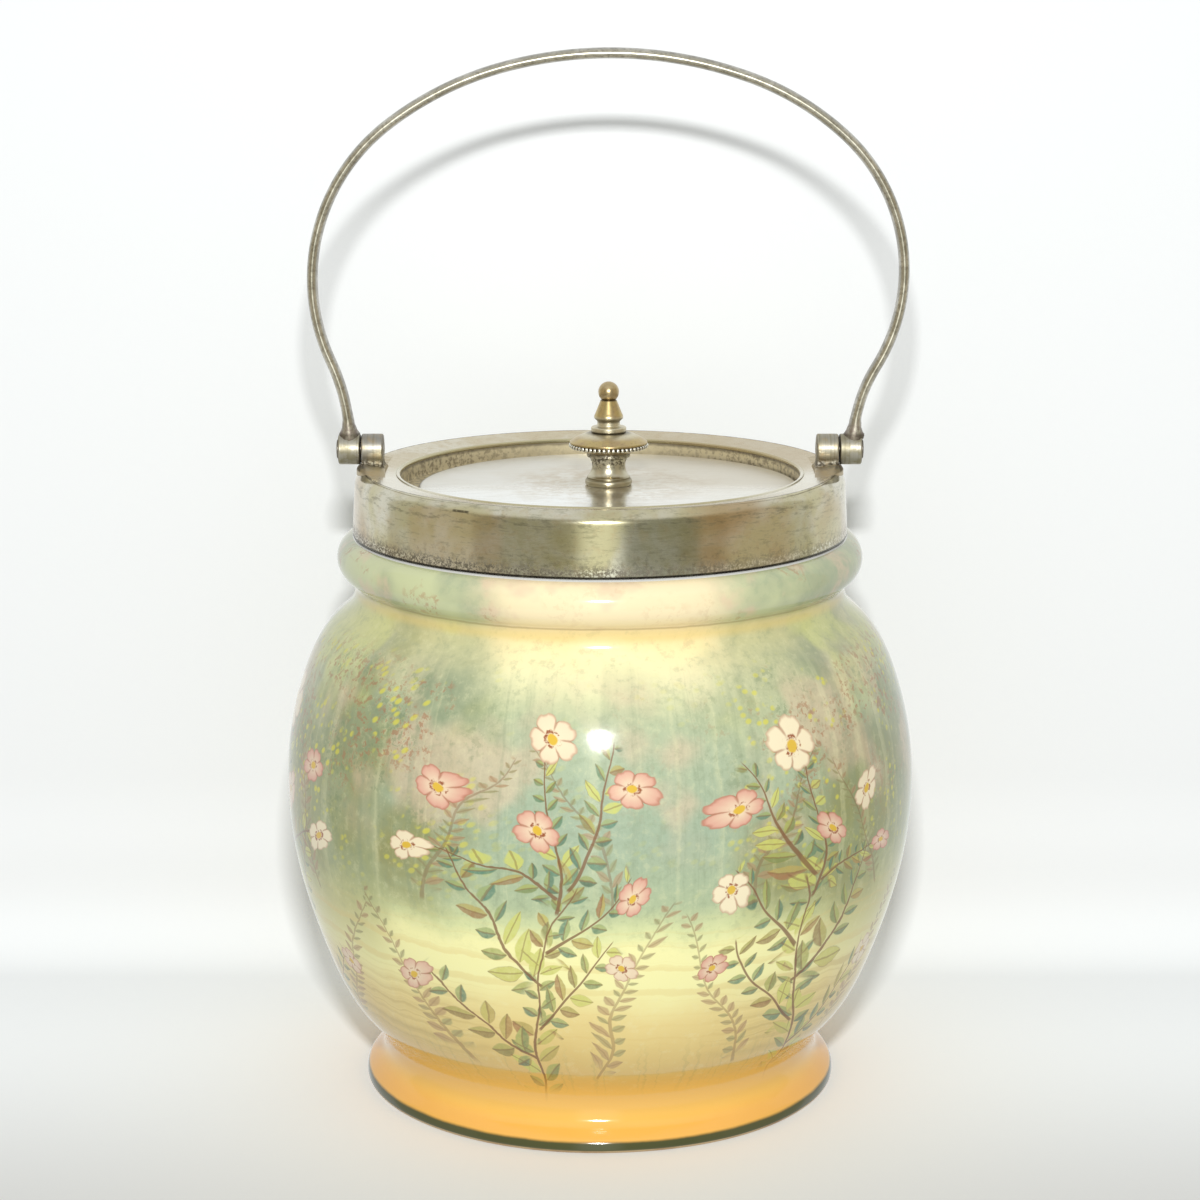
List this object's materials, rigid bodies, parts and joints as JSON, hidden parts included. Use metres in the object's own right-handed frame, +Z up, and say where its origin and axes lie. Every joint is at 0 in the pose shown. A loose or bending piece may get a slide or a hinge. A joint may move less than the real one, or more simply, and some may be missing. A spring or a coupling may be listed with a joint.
{
  "type": "biscuit jar",
  "caption": "Round glazed earthenware barrel jar with a plated metal collar, a flat drop-in lid with a turned knob, and an arched swing handle.",
  "frame": {"origin": "centre of the foot ring, on the surface that the jar stands on", "axes": "+Z up along the jar's axis; X along the handle's hinge axis, +X to the right seen from the front; the front faces -Y"},
  "size_m": [0.155, 0.155, 0.2552],
  "materials": {
    "glazed_earthenware": "glossy glaze over a painted wash of sage green, cream and orange, with leafy sprays",
    "plated_collar": "worn silver plate with olive-brown tarnish, polished",
    "plated_lid": "worn silver plate with fine scratches",
    "turned_knob": "plate worn to the brass, dark in the grooves",
    "handle_wire": "dull worn silver plate",
    "steel_hardware": "dull steel",
    "plaster": "matt plaster"
  },
  "bodies": {
    "root": {"jar_body": "glazed_earthenware", "plaster_bed": "plaster", "collar_band": "plated_collar", "collar_top_ring": "plated_collar", "lid_seat_ring": "plated_collar", "bracket_foot_left": "plated_collar", "bracket_foot_right": "plated_collar", "bracket_knuckle_left": "plated_collar", "bracket_knuckle_right": "plated_collar", "hinge_pin_left": "steel_hardware", "hinge_pin_right": "steel_hardware"},
    "lid": {"lid_disc": "plated_lid", "knob_pedestal": "turned_knob", "knob_dome": "turned_knob", "knob_bead_wire": "turned_knob", "knob_spire": "turned_knob", "knob_stud": "steel_hardware", "knob_washer": "steel_hardware", "knob_nut": "steel_hardware"},
    "handle": {"handle_bow": "handle_wire", "handle_knuckle_left": "plated_collar", "handle_knuckle_right": "plated_collar"}
  },
  "joints": [
    {"name": "handle_swing", "type": "hinge", "parent": "root", "child": "handle", "pos_m": [0, 0, 0.1588], "axis": [1, 0, 0], "range_deg": [-126, 126]},
    {"name": "lid_lift", "type": "slide", "parent": "root", "child": "lid", "axis": [0, 0, 1], "range_m": [0, 0.06]}
  ]
}
